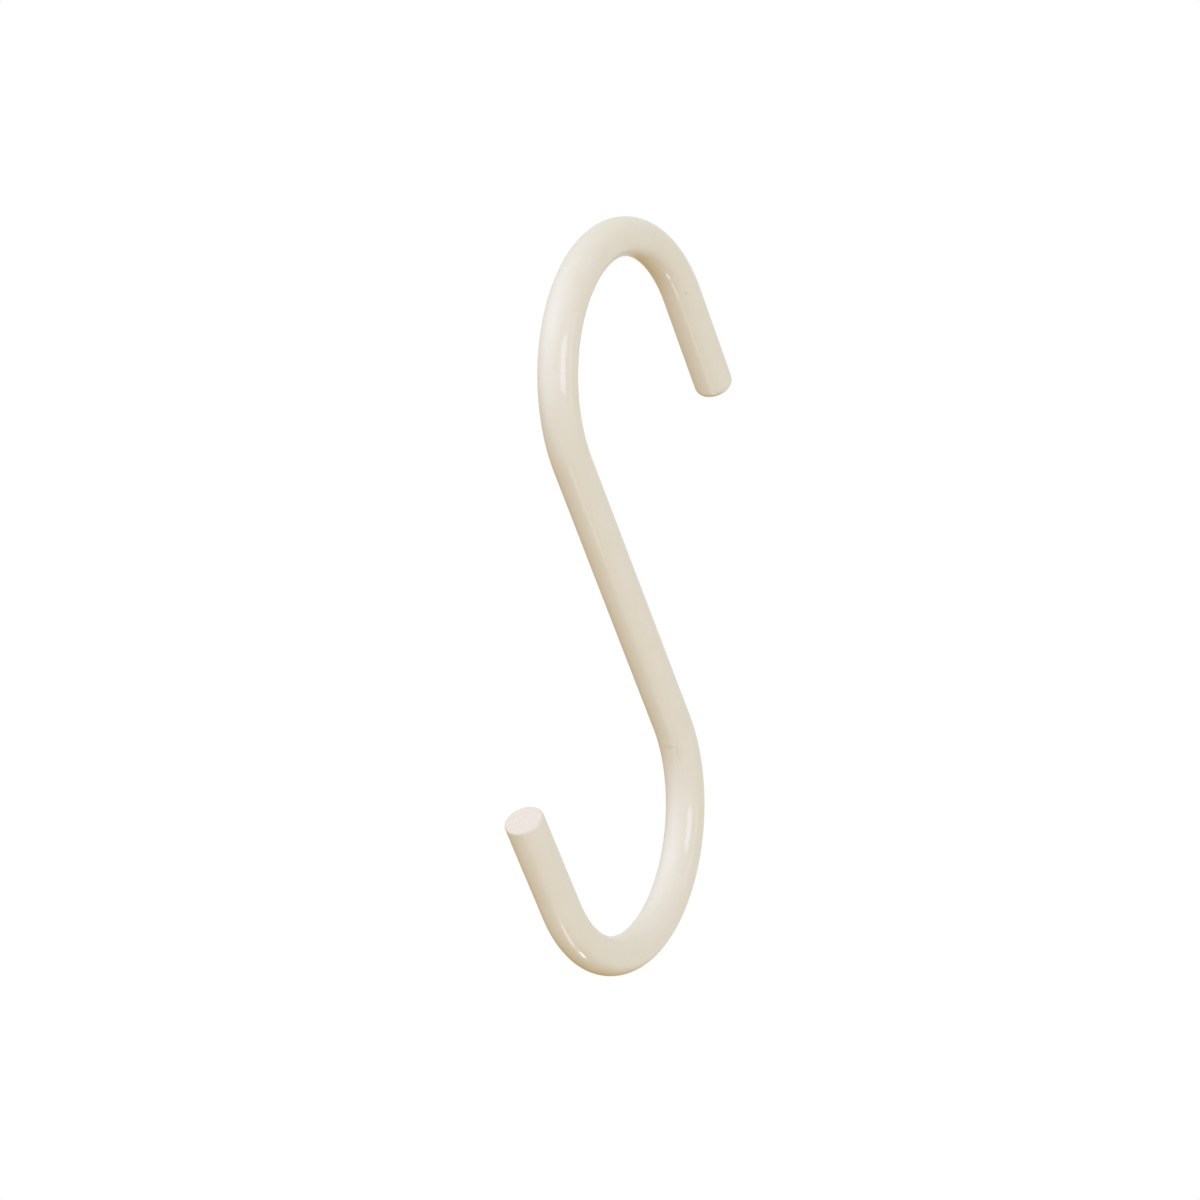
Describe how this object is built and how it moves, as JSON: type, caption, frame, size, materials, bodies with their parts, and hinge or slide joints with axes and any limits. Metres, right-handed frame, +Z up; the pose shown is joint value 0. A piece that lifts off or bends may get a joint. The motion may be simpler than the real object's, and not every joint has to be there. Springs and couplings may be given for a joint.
{
  "type": "s hook",
  "caption": "S-shaped hook of round coated wire, with an open bend at each end, for hanging a thing from a rail, ring or chain link.",
  "frame": {"origin": "where the rail touches the inside of the upper bend", "axes": "+Z up, along the line of load through both saddles; the wire lies in the XZ plane, and the upper mouth opens towards +X"},
  "size_m": [0.0497, 0.005, 0.0953],
  "materials": {
    "coating": "gloss"
  },
  "bodies": {
    "root": {"hook": "coating"}
  },
  "joints": []
}
